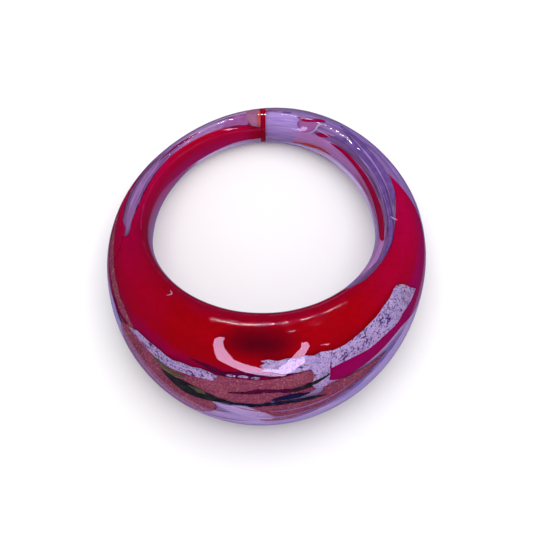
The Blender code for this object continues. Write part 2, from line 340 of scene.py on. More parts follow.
data = bpy.data.lights.new("top_softbox", "AREA")
data.energy, data.size = 1.75, 0.40
softbox = bpy.data.objects.new("top_softbox", data)
bpy.context.scene.collection.objects.link(softbox)
softbox.location = Vector((0.05, 0.18, 0.95)).normalized() * 0.5
softbox.rotation_euler = (-softbox.location).to_track_quat("-Z", "Y").to_euler()
softbox.visible_camera = softbox.visible_glossy = False
print("table", table.name, "softbox at", tuple(round(c, 3) for c in softbox.location))


# %% Shapes that only the glass sees
# Distances in metres, the tent edge in degrees.
HANG = 0.3
TENT_RADIUS, TENT_SIDES, TENT_LEVELS, TENT_EDGE = 0.5, 48, 16, -62
LAMP_TALLER = 5


def hang(name, corners, faces, material):
    """A panel that only mirror reflections can see."""
    mesh = bpy.data.meshes.new(name)
    mesh.from_pydata(corners, [], faces)
    mesh.materials.append(material)
    panel = bpy.data.objects.new(name, mesh)
    bpy.context.scene.collection.objects.link(panel)
    for ray in ("camera", "diffuse", "transmission", "volume_scatter", "shadow"):
        setattr(panel, "visible_" + ray, False)
    print(f"{name}: {len(faces)} panels for the glass to mirror")


# %% A ribbon of light, a tent and a row of lamps
def hoop(name, towards, widths, material):
    """A ribbon of light that passes through these directions, with a width at each."""
    spots = [Vector(d).normalized() for d in towards]
    corners, faces = [], []
    for i, spot in enumerate(spots):
        along = spots[min(i + 1, len(spots) - 1)] - spots[max(i - 1, 0)]
        side = spot.cross(along).normalized() * widths[i] / 2
        corners += [(spot + side) * HANG, (spot - side) * HANG]
        if i:
            k = 2 * i
            faces.append((k - 2, k - 1, k + 1, k))
    hang(name, corners, faces, material)


def tent(name, highest, lowest, material):
    """A cloth dome or bowl round the ring, between two levels in degrees."""
    corners, faces = [], []
    for i in range(TENT_LEVELS + 1):
        level = math.radians(highest - i * (highest - lowest) / TENT_LEVELS)
        for k in range(TENT_SIDES):
            turn, out = 2 * math.pi * k / TENT_SIDES, math.cos(level)
            spot = Vector((out * math.cos(turn), out * math.sin(turn), math.sin(level)))
            corners.append(spot * TENT_RADIUS)
    for i in range(TENT_LEVELS):
        for k in range(TENT_SIDES):
            a, b = i * TENT_SIDES + k, i * TENT_SIDES + (k + 1) % TENT_SIDES
            faces.append((a, b, b + TENT_SIDES, a + TENT_SIDES))
    closed_end = 0 if highest > 80 else TENT_LEVELS * TENT_SIDES
    faces.append(tuple(range(closed_end, closed_end + TENT_SIDES)))
    hang(name, corners, faces, material)


def lamp_row(name, path, count, size, material):
    """Small upright lamps, evenly along a path of directions."""
    corners, faces = [], []
    for i in range(count):
        t = i / (count - 1) * (len(path) - 1)
        k = min(int(t), len(path) - 2)
        spot = Vector(path[k]).lerp(Vector(path[k + 1]), t - k).normalized()
        a = spot.cross(Vector((0, 0, 1))).normalized() * size
        b = spot.cross(a).normalized() * size * LAMP_TALLER
        faces.append(tuple(range(len(corners), len(corners) + 4)))
        corners += [(spot + side) * HANG for side in (a + b, b - a, -a - b, a - b)]
    hang(name, corners, faces, material)


# %% Hang the cloth and the lamps
tent("dark_tent", 89.5, TENT_EDGE, glow("tent_cloth", (0.030, 0.022, 0.040), 1.0))
tent("lilac_bowl", TENT_EDGE, -89.5, glow("bowl_cloth", (0.20, 0.17, 0.36), 1.0))
HOOP_PATH = [
    (-0.32, -0.01, 0.94), (-0.42, -0.28, 0.86), (-0.46, -0.62, 0.62), (-0.40, -0.87, 0.26),
    (-0.15, -0.99, 0.08), (0.14, -0.99, -0.04), (0.30, -0.93, 0.18), (0.35, -0.86, 0.38),
    (0.42, -0.62, 0.65), (0.40, -0.41, 0.82),
]
HOOP_WIDTHS = [0.05, 0.08, 0.12, 0.20, 0.22, 0.22, 0.20, 0.13, 0.09, 0.05]
DASH_PATH, DASH_WIDTHS = [(0.57, -0.62, 0.52), (0.65, -0.65, 0.40)], [0.02, 0.03]
BACK_LAMPS = [(-0.14, 0.77, 0.63), (0.02, 0.76, 0.65), (0.21, 0.85, 0.49)]
UPPER_LAMPS = [(0.15, 0.55, 0.82), (0.27, 0.60, 0.75)]
hoop("front_hoop", HOOP_PATH, HOOP_WIDTHS, glow("hoop_glow", (0.84, 0.62, 1.0), 11.0))
lamp_glow = glow("lamp_glow", (1, 0.85, 0.95), 125.0)
lamp_row("back_lamps", BACK_LAMPS, 34, 0.0018, lamp_glow)
lamp_row("upper_lamps", UPPER_LAMPS, 10, 0.0014, lamp_glow)
hoop("side_dash", DASH_PATH, DASH_WIDTHS, glow("dash_glow", (0.84, 0.66, 1.0), 11.0))

# %% [markdown]
# ## The clear body
#
# The three clear layers of the ring are fused, so here they are one piece of glass. The tree
# starts from a flat grid, reads its corners as *around* and *section*, and lets the rule bend it
# into a ring. Real fire-polished glass is never perfectly even, so a slow noise moves the skin by
# a few hundredths of a millimetre, and its pattern is fixed. The colour is not on the skin but in
# the depth, so the material has a faint tint and a Volume Absorption that deepens with thickness.

# %% Lilac glass
lilac_glass, net = new_material("lilac_glass")
shader = net.node("ShaderNodeBsdfPrincipled", {}, {
    "Base Color": (0.72, 0.60, 0.88, 1), "Roughness": 0.0, "IOR": 1.51, "Transmission Weight": 1.0})
tint = {"Color": (0.60, 0.22, 0.70, 1), "Density": 100.0}
show(net, shader, net.node("ShaderNodeVolumeAbsorption", {}, tint))

# %% Grow the body
AROUND_STEPS, SECTION_STEPS, TOUCHING = 320, 120, 1e-7
UNEVENNESS, CLEARANCE = 0.05, 0.065
tree, net, given = new_tree("ring_body", ("Unevenness", "Clearance"))
grid = net.tree.nodes.new("GeometryNodeMeshGrid")
for socket, value in zip(grid.inputs, (360.0, 360.0, AROUND_STEPS + 1, SECTION_STEPS + 1)):
    socket.default_value = value
around, section = net.angles(net.node("GeometryNodeInputPosition"), 2)
turn, tilt = around * math.radians(1), section * math.radians(1)
loop = [turn.maths("COSINE") * 2, turn.maths("SINE") * 2, tilt.maths("SINE") * 0.6]
wave = net.noise(net.node("ShaderNodeCombineXYZ", {}, loop), 1.3, detail=1.0)
depth = given["Clearance"] + (wave - 0.5) * given["Unevenness"]
point = ring_rule(net, given, around, section, depth, False)
flat_sheet = Sock(net, grid.outputs[0])
body = net.node("GeometryNodeSetPosition", {}, {"Geometry": flat_sheet, "Position": point})
body = net.node("GeometryNodeMergeByDistance", {}, {"Geometry": body, "Distance": TOUCHING})
end_tree(tree, net, body, given["Material"])
empty = bpy.data.meshes.new("empty")
glass_ring = grown_mesh(
    "glass_ring", empty, tree, lilac_glass, unevenness=UNEVENNESS, clearance=CLEARANCE)


# %% Turn its faces outwards and hand it over
def hand_over(piece, slot, *nodes):
    """Faces outwards, goes under the root body and hides the parts it stands for. Slot is unused.
    """
    work = bmesh.new()
    work.from_mesh(piece.data)
    bmesh.ops.recalc_face_normals(work, faces=work.faces)
    if work.calc_volume(signed=True) < 0:
        bmesh.ops.reverse_faces(work, faces=work.faces)
    open_edges = sum(not edge.is_manifold for edge in work.edges)
    volume = round(work.calc_volume() / MM**3, 3)
    print(piece.name, "volume", volume, "mm3, open edges", open_edges)
    work.to_mesh(piece.data)
    work.free()
    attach(piece, "root")
    if nodes:
        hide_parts(*nodes)


hand_over(glass_ring, "lilac", "outer_casing", "finger_band", "lilac_heart")

# %% [markdown]
# ## Flat pieces, laid on the ring
#
# Each coloured piece is drawn flat, as an outline in the two angles, like cutting a shape from
# coloured paper. It is then sliced into small cells so that it can bend, given two faces and a
# rim, and laid on the ring by the same rule. The third coordinate is depth under the clear skin.


# %% Outlines
def millimetres_per_degree(around):
    """Rough lengths of one degree around and one along the section, for widths of drawn lines."""
    dome = (1 + math.cos(math.radians(around))) / 2
    return 0.165 + 0.085 * dome, 0.030 + 0.085 * dome**1.3


def bent(p0, p1, p2, p3, t):
    """A point between p1 and p2, on the smooth curve through all four."""
    square, cube = 2 * p0 - 5 * p1 + 4 * p2 - p3, 3 * p1 - 3 * p2 + p3 - p0
    return (2 * p1 + (p2 - p0) * t + square * t**2 + cube * t**3) / 2


def rounded(outline, parts=4):
    """A smooth closed curve through the points."""
    count, curve = len(outline), []
    for i in range(count):
        four = [Vector(outline[(i + k - 1) % count]) for k in range(4)]
        curve += [tuple(bent(*four, k / parts)) for k in range(parts)]
    return curve


def eased(path, parts=5):
    """A smooth open curve through the points."""
    path = [Vector(p) for p in path]
    path = [2 * path[0] - path[1], *path, 2 * path[-1] - path[-2]]
    curve = []
    for four in zip(path, path[1:], path[2:], path[3:]):
        curve += [bent(*four, k / parts) for k in range(parts)]
    return curve + [path[-2]]


# %% A drawn line
def drawn_line(path, width, seed=1, ragged=0.25):
    """The outline of a line of about this width in mm, uneven and drawn out thin at both ends."""
    chance, spots = random.Random(seed), eased(path)
    right_side, left_side = [], []
    for i, spot in enumerate(spots):
        sx, sy = millimetres_per_degree(spot[0])
        along = spots[min(i + 1, len(spots) - 1)] - spots[max(i - 1, 0)]
        out = Vector((along.y * sy, -along.x * sx)).normalized()
        t = i / (len(spots) - 1)
        swell = min(1.0, 0.12 + 3.2 * min(t, 1 - t)) * (1 + ragged * (chance.random() - 0.5))
        half = width / 2 * swell
        right_side.append((spot.x + out.x * half / sx, spot.y + out.y * half / sy))
        left_side.append((spot.x - out.x * half / sx, spot.y - out.y * half / sy))
    return right_side + left_side[::-1]


# %% Slice an outline so that it can bend
CELL = (2.0, 4.0)


def sliced(outline, step_around, step_section):
    """A flat bmesh of the outline, cut into cells."""
    flat = bmesh.new()
    flat.faces.new([flat.verts.new((a, u, 0)) for a, u in outline])
    bmesh.ops.recalc_face_normals(flat, faces=flat.faces)
    if next(iter(flat.faces)).normal.z < 0:
        bmesh.ops.reverse_faces(flat, faces=flat.faces)
    for axis, step in ((0, step_around), (1, step_section)):
        low, high = min(p[axis] for p in outline), max(p[axis] for p in outline)
        normal = Vector((1, 0, 0)) if axis == 0 else Vector((0, 1, 0))
        for k in range(math.ceil(low / step), math.floor(high / step) + 1):
            everything = flat.verts[:] + flat.edges[:] + flat.faces[:]
            bmesh.ops.bisect_plane(
                flat, geom=everything, dist=1e-5, plane_co=normal * (k * step), plane_no=normal)
    bmesh.ops.triangulate(flat, faces=flat.faces)
    return flat


# %% Sheets with and without a thickness
def sheet_mesh(name, outline, over, under, step=CELL):
    """A closed flat sheet between two depths: two faces and a rim."""
    flat = sliced(outline, *step)
    rim = [edge for edge in flat.edges if edge.is_boundary]
    flat.verts.index_update()
    n = len(flat.verts)
    points = [(v.co.x, v.co.y, depth) for depth in (over, under) for v in flat.verts]
    faces = [tuple(v.index for v in f.verts) for f in flat.faces]
    faces += [tuple(i + n for i in reversed(f)) for f in faces]
    for edge in rim:
        loop = edge.link_loops[0]
        i, k = loop.vert.index, loop.link_loop_next.vert.index
        faces.append((i, i + n, k + n, k))
    flat.free()
    mesh = bpy.data.meshes.new(name)
    mesh.from_pydata(points, [], faces)
    return mesh


def top_mesh(name, outline, depth, step=CELL):
    """An open sheet at one depth, for a tree that adds the thickness itself."""
    flat = sliced(outline, *step)
    mesh = bpy.data.meshes.new(name)
    flat.to_mesh(mesh)
    flat.free()
    for vertex in mesh.vertices:
        vertex.co.z = depth
    return mesh


# %% The tree that lays a flat piece on the ring
def laid_out(net, given, geometry):
    """The geometry, with each flat point moved to its place on the ring."""
    place = net.angles(net.node("GeometryNodeInputPosition"), 3)
    position = ring_rule(net, given, *place, True)
    return net.node("GeometryNodeSetPosition", {}, {"Geometry": geometry, "Position": position})


laying_tree, net, given = new_tree("lay_on_ring")
flat_place = {"Name": "ring_place", "Value": net.node("GeometryNodeInputPosition")}
marked = net.node("GeometryNodeStoreNamedAttribute", {
    "data_type": "FLOAT_VECTOR", "domain": "POINT"}, {"Geometry": given["Geometry"], **flat_place})
end_tree(laying_tree, net, laid_out(net, given, marked), given["Material"])


def lay(name, outline, layer, material, slot, *nodes, step=CELL):
    """One flat piece: drawn, sliced, laid between the two depths of its layer, and handed over."""
    mesh = sheet_mesh(name, outline, *layer, step)
    hand_over(grown_mesh(name, mesh, laying_tree, material), slot, *nodes)


# %% [markdown]
# ## The stack of layers
#
# A lampworker lays colour on colour, so which piece covers which is part of the design. Each kind
# of piece has its own layer here, as a top and a bottom depth in millimetres below the clear
# shell. Where two sheets overlap, the one nearer the skin hides the other.

# %% Depths of the layers, from the skin down
CHIP_LAYER, SEED_HIGHLIGHT_LAYER, LEAF_GLINT_LAYER = (0.0, 0.02), (0.02, 0.05), (0.03, 0.045)
DARK_LAYER, OLIVE_LAYER, STRINGER_LAYER = (0.02, 0.1), (0.03, 0.1), (0.03, 0.11)
JOINT_LINE_LAYER, WISP_LAYER, CRIMSON_CHIP_LAYER = (0.05, 0.09), (0.05, 0.1), (0.06, 0.14)
LEAF_TOP, LEAF_SHADOW_LAYER = 0.05, (0.085, 0.10)
THREAD_LAYER, CRESCENT_LAYER, PEACH_LAYER = (0.08, 0.16), (0.08, 0.18), (0.1, 0.15)
HIGHLIGHT_PATCH_LAYER, COPPER_WISP_LAYER, BLUSH_LAYER = (0.12, 0.15), (0.12, 0.16), (0.16, 0.2)
GLITTER_LAYER, FLAKE_DEPTH, PLUM_LAYER = (0.17, 0.28), 0.165, (0.2, 0.28)
CRIMSON_LAYER, WALL_LAYER, RED_LAYER = (0.2, 0.32), (0.24, 0.28), (0.32, 0.5)
UPPER_MIST_LAYER, MIST_LAYER = (0.46, 0.50), (0.52, 0.58)
print("deepest layer", MIST_LAYER[1], "mm under the shell")

# %% [markdown]
# ## Coloured glass under glass
#
# Every coloured piece sits in clear glass of the same kind, so it has no shine of its own: its
# specular level is zero, and the real highlights come from the clear skin above. The white of the
# seeds, of the glints on the leaves and of one patch low on the front is painted highlight.
# Rods of coloured glass are never quite even, so each colour is a mix of a deep and a thin tone. A
# soft cloud and a finer, stretched streak choose between them.


# %% Dull colours and the rods they come from
def dull(net, colour, roughness):
    show(net, net.node("ShaderNodeBsdfPrincipled", {}, {
        "Base Color": colour, "Roughness": roughness, "Specular IOR Level": 0.0}))


def ramp_up(value, start, full):
    """0 before start, 1 after full, and an even rise between them."""
    return ((value - start) / (full - start)).held()


def inner_glass(name, deep, thin, scale):
    material, net = new_material(name)
    spot = net.on_piece()
    cloud = net.noise(spot, scale, detail=3.0, roughness=0.55)
    drawn_out = net.node("ShaderNodeMapping", {}, {"Vector": spot, "Scale": (1.0, 1.0, 4.0)})
    streak = net.noise(drawn_out, scale * 2.5, detail=2.0)
    share = ((cloud * 0.7 + streak * 0.3 - 0.38) * 2.2).held()
    dull(net, net.blend(share, (*deep, 1), (*thin, 1)), 0.55)
    return material


crimson_glass = inner_glass("crimson_glass", (0.48, 0.002, 0.06), (0.62, 0.01, 0.12), 900.0)
orange_glass = inner_glass("orange_glass", (0.85, 0.12, 0.07), (0.90, 0.30, 0.18), 900.0)
magenta_glass = inner_glass("magenta_glass", (0.50, 0.03, 0.28), (0.66, 0.07, 0.36), 900.0)
shade_glass = inner_glass("deep_lilac_glass", (0.22, 0.14, 0.36), (0.40, 0.29, 0.58), 1200.0)
pale_glass = inner_glass("pale_lilac_glass", (0.62, 0.48, 0.80), (0.80, 0.68, 0.92), 1200.0)
pink_glass = inner_glass("pink_glass", (0.52, 0.20, 0.42), (0.70, 0.34, 0.58), 1200.0)
peach_glass = inner_glass("peach_glass", (0.50, 0.24, 0.32), (0.74, 0.40, 0.44), 1200.0)
# Near white for painted highlights: seeds that catch the light, and glints on creases in the leaf.
glint_white_glass = inner_glass("painted_glint_white", (0.92, 0.90, 0.98), (1.0, 1.0, 1.0), 1500.0)
plum_glass = inner_glass("plum_glass", (0.12, 0.003, 0.04), (0.24, 0.01, 0.08), 1500.0)

# %% [markdown]
# ## Smoky sheets
#
# The clear glass at the back and low in front is not even: smoke from the flame and the turns of
# winding leave plum, pink and blue-grey veils in it. Each veil is a thin sheet laid deepest of
# all. Its noise reads the flat place kept as `ring_place`, stretched along the ring, so the smoke
# runs the way that the glass was wound.


# %% Smoky glass
SMOKE_ALONG, SMOKE_ACROSS = 0.05, 0.16


def mist_glass(name, deep, thin):
    material, net = new_material(name)
    place = net.node("ShaderNodeAttribute", {"attribute_name": "ring_place"}, {}, "Vector")
    stretch = (SMOKE_ALONG, SMOKE_ACROSS, 0.0)
    drawn_out = net.node("ShaderNodeMapping", {}, {"Vector": place, "Scale": stretch})
    smoke = net.noise(drawn_out, 1.0, detail=5.0, distortion=0.6)
    share = ((smoke - 0.36) * 3.6).held()
    dull(net, net.blend(share, (*deep, 1), (*thin, 1)), 0.6)
    return material


mist_plum = mist_glass("mist_plum", (0.27, 0.20, 0.40), (0.66, 0.50, 0.74))
mist_pink = mist_glass("mist_pink", (0.92, 0.54, 0.84), (1.0, 0.74, 0.98))
mist_blue = mist_glass("mist_blue", (0.56, 0.48, 0.86), (0.88, 0.80, 1.0))
mist_violet = mist_glass("mist_violet", (0.34, 0.26, 0.52), (0.66, 0.56, 0.86))
mist_mauve = mist_glass("mist_mauve", (0.48, 0.30, 0.50), (0.66, 0.46, 0.68))
mist_pale = mist_glass("mist_pale", (0.60, 0.60, 0.86), (1.0, 1.0, 1.0))

# %% Lay the veils
MIST_BACK = [
    (176.5, -30), (160, -30), (140, -24), (124, -10), (112, 14), (104, 46), (96, 78), (84, 94),
    (70, 98), (58, 106), (60, 118), (78, 122), (104, 134), (125, 131), (143, 131), (160, 128),
    (176.5, 126),
]
MIST_FINGER = [
    (176.5, 128), (160, 130), (143, 133), (104, 136), (78, 124), (60, 122), (48, 134), (54, 152),
    (68, 170), (90, 186), (110, 198), (140, 206), (176.5, 206),
]
MIST_JOINT = [(176.6, 10), (168, 14), (163, 60), (160, 100), (161, 140), (164, 196), (176.6, 200)]
MIST_MARGIN = [
    (172, -70), (150, -70), (124, -56), (104, -30), (92, 20), (103, 56), (112, 46), (130, 44),
    (150, 50), (172, 50),
]
MIST_LEFT = [
    (-80, 86), (-86, 70), (-98, 30), (-112, -20), (-130, -60), (-148, -75), (-176, -80),
    (-176, 118), (-160, 106), (-142, 100), (-125, 100), (-113, 105), (-99, 104), (-86, 95),
]
PALE_SKIRT = [
    (-66, 12), (-50, 14), (-30, 4), (0, 2), (20, 9), (38, 14), (60, 14), (74, 20), (68, -12),
    (50, -32), (30, -44), (0, -48), (-30, -44), (-50, -40), (-70, -34), (-90, -30), (-110, -10),
    (-108, 20), (-90, 14),
]
MAGENTA_WALL = [
    (-140, 222), (-120, 216), (-104, 206), (-88, 188), (-76, 166), (-62, 152), (-46, 152),
    (-40, 176), (-46, 210), (-64, 240), (-90, 250), (-120, 250), (-144, 240),
]
lay("mist_back", MIST_BACK, MIST_LAYER, mist_plum, "lilac")
lay("mist_finger", MIST_FINGER, MIST_LAYER, mist_pink, "lilac")
lay("magenta_wall", rounded(MAGENTA_WALL), WALL_LAYER, magenta_glass, "crimson")
lay("mist_joint", rounded(MIST_JOINT), UPPER_MIST_LAYER, mist_blue, "lilac")
lay("mist_margin", rounded(MIST_MARGIN), UPPER_MIST_LAYER, mist_violet, "lilac")
lay("mist_left", MIST_LEFT, MIST_LAYER, mist_mauve, "lilac")
lay("pale_skirt", PALE_SKIRT, MIST_LAYER, mist_pale, "lilac")

# %% [markdown]
# ## Red glass
#
# Dense red glass covers the dome and runs along the finger side of the band to the joint at the
# back. Where the overlay is thinner, the lilac behind it turns the red towards crimson: at the
# sides, towards the finger and at the outer edge. A dark patch in the middle of the dome is a
# painted reflection of the camera. So the colour is a base red with one more tone mixed in for
# each of these places, found from the flat place of each point, and a fine mottle over everything.

# %% Where the tones lie
red_glass, net = new_material("red_glass")
place = net.node("ShaderNodeAttribute", {"attribute_name": "ring_place"}, {}, "Vector")
around, section = net.angles(place, 2)
spot = net.on_piece()
cloud = net.noise(spot, 330.0, detail=3.0)
from_front, leftwards = around.maths("ABSOLUTE"), around * -1
sides = ramp_up(from_front + cloud * 50, 58.0, 112.0)
sides = sides * (1 - ramp_up(from_front, 122.0, 150.0))
outer = ramp_up(48 - section + cloud * 16, 6.0, 22.0)
finger = ramp_up(section + cloud * 24, 108.0, 150.0) * 0.75
inner_wall = ramp_up(section, 150.0, 196.0) * ramp_up(leftwards, 42.0, 66.0)
inner_wall = inner_wall * (1 - ramp_up(leftwards, 110.0, 178.0) * 0.8)
# The dark patch in the middle of the dome is a painted reflection of the camera.
painted_camera_reflection = ((around + 3) / 15) ** 2 + ((section - 80) / 23) ** 2
painted_camera_reflection = 1 - ramp_up(painted_camera_reflection + cloud * 0.5, 0.1, 1.4)

# %% Mix them
CHERRY = (0.62, 0.0, 0.006, 1)
TONES = [
    (sides.maths("MAXIMUM", finger), (0.64, 0.0, 0.062, 1)),
    (outer, (0.58, 0.0, 0.075, 1)),
    (outer * ramp_up(around, -6.0, 16.0), (0.56, 0.0, 0.13, 1)),
    (inner_wall, (0.66, 0.03, 0.26, 1)),
    # painted reflection of the camera, dark in the middle of the dome
    (painted_camera_reflection, (0.08, 0.0, 0.010, 1)),
    (ramp_up(from_front, 173.0, 177.0), (0.52, 0.0, 0.03, 1)),
]
red = CHERRY
for share, tone in TONES:
    red = net.blend(share, red, tone)
back = ramp_up(leftwards, 85.0, 112.0)
mottle = net.noise(spot, 2600.0, detail=3.0, roughness=0.7)
gain = 0.93 + around.held(-75.0, 75.0) * 0.0014 * (1 - back) + back * 0.36
gain = gain * (0.80 + mottle * 0.4)
red = net.node("ShaderNodeVectorMath", {"operation": "SCALE"}, {0: red, "Scale": gain})
dull(net, red, 0.5)
print("red glass:", len(net.tree.nodes), "nodes")

# %% The red overlay, dome and band in one
RED_OUTLINE = [
    (111, 78), (104, 62), (95, 40), (86, 16), (77, -2), (67, -8), (58, -2), (52, 7), (46, 12),
    (33, 11), (22, 11), (15, 22), (6, 26), (-4, 26), (-14, 26), (-24, 24), (-36, 23), (-47, 20),
    (-56, 17), (-66, 14), (-76, 12), (-86, 15), (-92, 30), (-90, 48), (-84, 62), (-80, 88),
    (-88, 96), (-99, 106), (-113, 107), (-125, 101), (-134, 99), (-142, 101), (-151, 103),
    (-160, 107), (-167, 114), (-173, 122), (-176.5, 130), (-180.3, 138), (-181, 160), (-181, 200),
    (-168, 207), (-154, 222), (-138, 222), (-120, 218), (-104, 208), (-86, 190), (-72, 166),
    (-60, 152), (-40, 152), (-20, 152), (0, 152), (20, 150), (33, 138), (45, 117), (59, 109),
    (71, 103), (83, 100), (100, 88),
]
lay("red_overlay", rounded(RED_OUTLINE), RED_LAYER, red_glass, "red",
    "red_dome_overlay", "red_back_ribbon")

# %% [markdown]
# ## Crimson streak, chips and wisps
#
# Smaller scraps of the same reds lie above the overlay: a streak along the left edge, a crescent
# inside the band on the right, two chips near the joint, and hair-thin wisps where a rod was
# touched to the glass and pulled away. Blobs are rounded outlines. Wisps are drawn lines.

# %% Lay the scraps of red and orange
CRIMSON_EDGE = [
    (-84, 84), (-88, 74), (-95, 68), (-103, 60), (-112, 52), (-122, 46), (-134, 42), (-122, 34),
    (-108, 28), (-96, 26), (-84, 28), (-76, 36), (-73, 50), (-75, 68),
]
CRESCENT = [
    (143, 133), (139, 128), (132.5, 128), (124.5, 132), (114.5, 135), (104.5, 136), (90.5, 130),
    (78, 123), (73, 121), (76, 134), (84, 147), (92, 155), (103, 157), (114.5, 155), (125, 148),
    (134, 140),
]
CHIP_OUTER = [(163, 86), (158, 84), (153, 66), (150, 69), (154, 86), (159, 93)]
CHIP_INNER = [(152, 122), (148, 108), (144.5, 106), (145, 116), (149, 128)]
RED_THREAD = [(124, 170), (116, 174), (107, 173), (98, 167), (88, 155), (82, 150)]
ORANGE_THREAD = [(163, 196), (155, 186), (148, 179), (141, 179)]
lay("crimson_edge", rounded(CRIMSON_EDGE), CRIMSON_LAYER, red_glass, "crimson",
    "crimson_edge_streak")
lay("crimson_chip_a", rounded(CHIP_OUTER), CRIMSON_CHIP_LAYER, crimson_glass, "crimson",
    "crimson_chip_outer")
lay("crimson_chip_b", rounded(CHIP_INNER), CRIMSON_CHIP_LAYER, crimson_glass, "crimson",
    "crimson_chip_inner")
lay("red_crescent", rounded(CRESCENT), CRESCENT_LAYER, red_glass, "red", "red_wisp_crescent")
lay("red_thread", drawn_line(RED_THREAD, 0.24), THREAD_LAYER, orange_glass, "red",
    "red_wisp_thin")
lay("orange_thread", drawn_line(ORANGE_THREAD, 0.4), THREAD_LAYER, orange_glass, "orange",
    "orange_wisp")

# %% [markdown]
# ## Striations, seeds and blushes
#
# Winding leaves fine lines of deeper and paler lilac that follow the loop. Seeds are tiny bubbles
# that the flame drew out into scratches, and their white is painted highlight, the light that they
# catch. Beside the joint the colours bled into one another in soft blushes. All are too thin to
# model as solids in the clear body, so each is a drawn line or a small rounded sheet close under
# the skin.

# %% Lines that follow the loop
STRIATION_THICKNESS = 0.05
STRIATIONS = [
    ("shade_outer", 1.1, shade_glass, 0.2, [(144, 45), (137, 66), (128, 82), (116, 89), (104, 92),
     (93, 97)]),
    ("shade_inner", 1.0, shade_glass, 0.22, [(146, 112), (138, 98), (128, 99), (116, 106),
     (103, 112), (90, 113), (77, 108), (66, 109), (56, 118)]),
    ("pale_outer", 0.12, pale_glass, 0.12, [(138, 72), (128, 88), (116, 93.5), (103, 98),
     (90, 101)]),
    ("pale_middle", 0.12, pale_glass, 0.12, [(132, 105), (121, 111), (109, 118), (96, 121),
     (82, 118)]),
    ("pale_inner", 0.08, pale_glass, 0.14, [(126, 107), (112, 112), (98, 115), (84, 112)]),
    ("shade_left", 0.16, shade_glass, 0.14, [(-84, 80), (-96, 74), (-110, 70), (-124, 68),
     (-138, 74)]),
    ("shade_left_high", 0.14, shade_glass, 0.14, [(-90, 92), (-102, 97), (-116, 97), (-130, 92),
     (-142, 90)]),
    ("shade_low_left", 0.4, plum_glass, 0.2, [(-66, 24), (-58, 14), (-50, 4), (-42, -8)]),
    ("pale_low_left", 0.3, pale_glass, 0.2, [(-64, 16), (-56, 6), (-48, -6)]),
    ("pale_left", 0.14, pale_glass, 0.12, [(-88, 84), (-100, 84), (-114, 82), (-128, 80)]),
]
for count, (name, width, material, depth, path) in enumerate(STRIATIONS):
    layer = (depth, depth + STRIATION_THICKNESS)
    lay(name, drawn_line(path, width, seed=count + 31), layer, material, "lilac")

# %% Seeds, white as painted highlights, and the forked trail beside the joint
SEED_HIGHLIGHTS = [
    ("seed_trail", [(158, 142), (154, 124), (152.5, 109), (152, 92), (148, 81)], 0.13, 61),
    ("seed_fork", [(153, 106), (148.5, 108), (144, 112)], 0.09, 62),
    ("seed_a", [(87, 108), (85.5, 101), (84.5, 94)], 0.16, 41),
    ("seed_b", [(-44, 108), (-42, 104), (-43, 97)], 0.1, 42),
    ("seed_c", [(37, 131), (38.5, 126)], 0.08, 43),
    ("seed_d", [(-14, 103), (-12.5, 101)], 0.08, 44),
]
for name, path, width, seed in SEED_HIGHLIGHTS:
    lay(name, drawn_line(path, width, seed=seed), SEED_HIGHLIGHT_LAYER, glint_white_glass, "lilac")

# %% Blushes
FINE_CELL = (1.0, 3.0)
PINK_RIGHT = [(162, 99), (158, 86), (153, 88), (152, 110), (154, 124), (158, 134), (161, 118)]
PINK_LEFT = [(-168, 66), (-173, 60), (-174, 90), (-174, 118), (-168, 110), (-162, 106), (-163, 90)]
PEACH = [(-180, 40), (-175, 44), (-173.5, 70), (-174, 100), (-176, 126), (-180, 136), (-180.2, 90)]
JOINT_LINE = [(-180.4, 60), (-179.4, 64), (-178.8, 100), (-179.2, 126), (-180.4, 134)]
lay("pink_blush_right", rounded(PINK_RIGHT), BLUSH_LAYER, pink_glass, "lilac")
lay("pink_blush_left", rounded(PINK_LEFT), BLUSH_LAYER, pink_glass, "lilac")
lay("peach_blush", PEACH, PEACH_LAYER, peach_glass, "orange", step=FINE_CELL)
lay("orange_joint_line", JOINT_LINE, JOINT_LINE_LAYER, orange_glass, "orange", step=FINE_CELL)

# %% [markdown]
# ## The joint at the back
#
# The ends of the wound glass meet at the back, against a wafer of red. It fills the section just
# under the skin, so it is drawn as a ring of section angles at two places around, with a flat
# face on each side.


# %% The wafer
WAFER_ENDS, WAFER_INSET, WAFER_STEPS = (177.35, 179.65), 0.03, 48


def wafer_mesh(name, ends, inset, steps):
    points = [(a, 360 * k / steps, inset) for a in ends for k in range(steps)]
    faces = [tuple(range(steps)), tuple(range(2 * steps - 1, steps - 1, -1))]
    faces += [(k, (k + 1) % steps, steps + (k + 1) % steps, steps + k) for k in range(steps)]
    mesh = bpy.data.meshes.new(name)
    mesh.from_pydata(points, [], faces)
    return mesh


wafer = wafer_mesh("joint_wafer", WAFER_ENDS, WAFER_INSET, WAFER_STEPS)
wafer = grown_mesh("joint_wafer", wafer, laying_tree, red_glass)
hand_over(wafer, "red", "seam_wafer")

# %% [markdown]
# ## Silver leaf
#
# Leaf is beaten so thin that hot glass tears it into islands as it stretches. Drawing every crack
# would be slow, so the tree does it: it starts from a finely sliced sheet, measures each cell's
# distance to the edge of a Voronoi pattern, deletes the cells that fall in a crack, thickens what
# is left, and lays it on the ring. A fixed Voronoi pattern gives the same cracks every time. A
# plum sheet just below each leaf is the shadow that shows through its cracks.

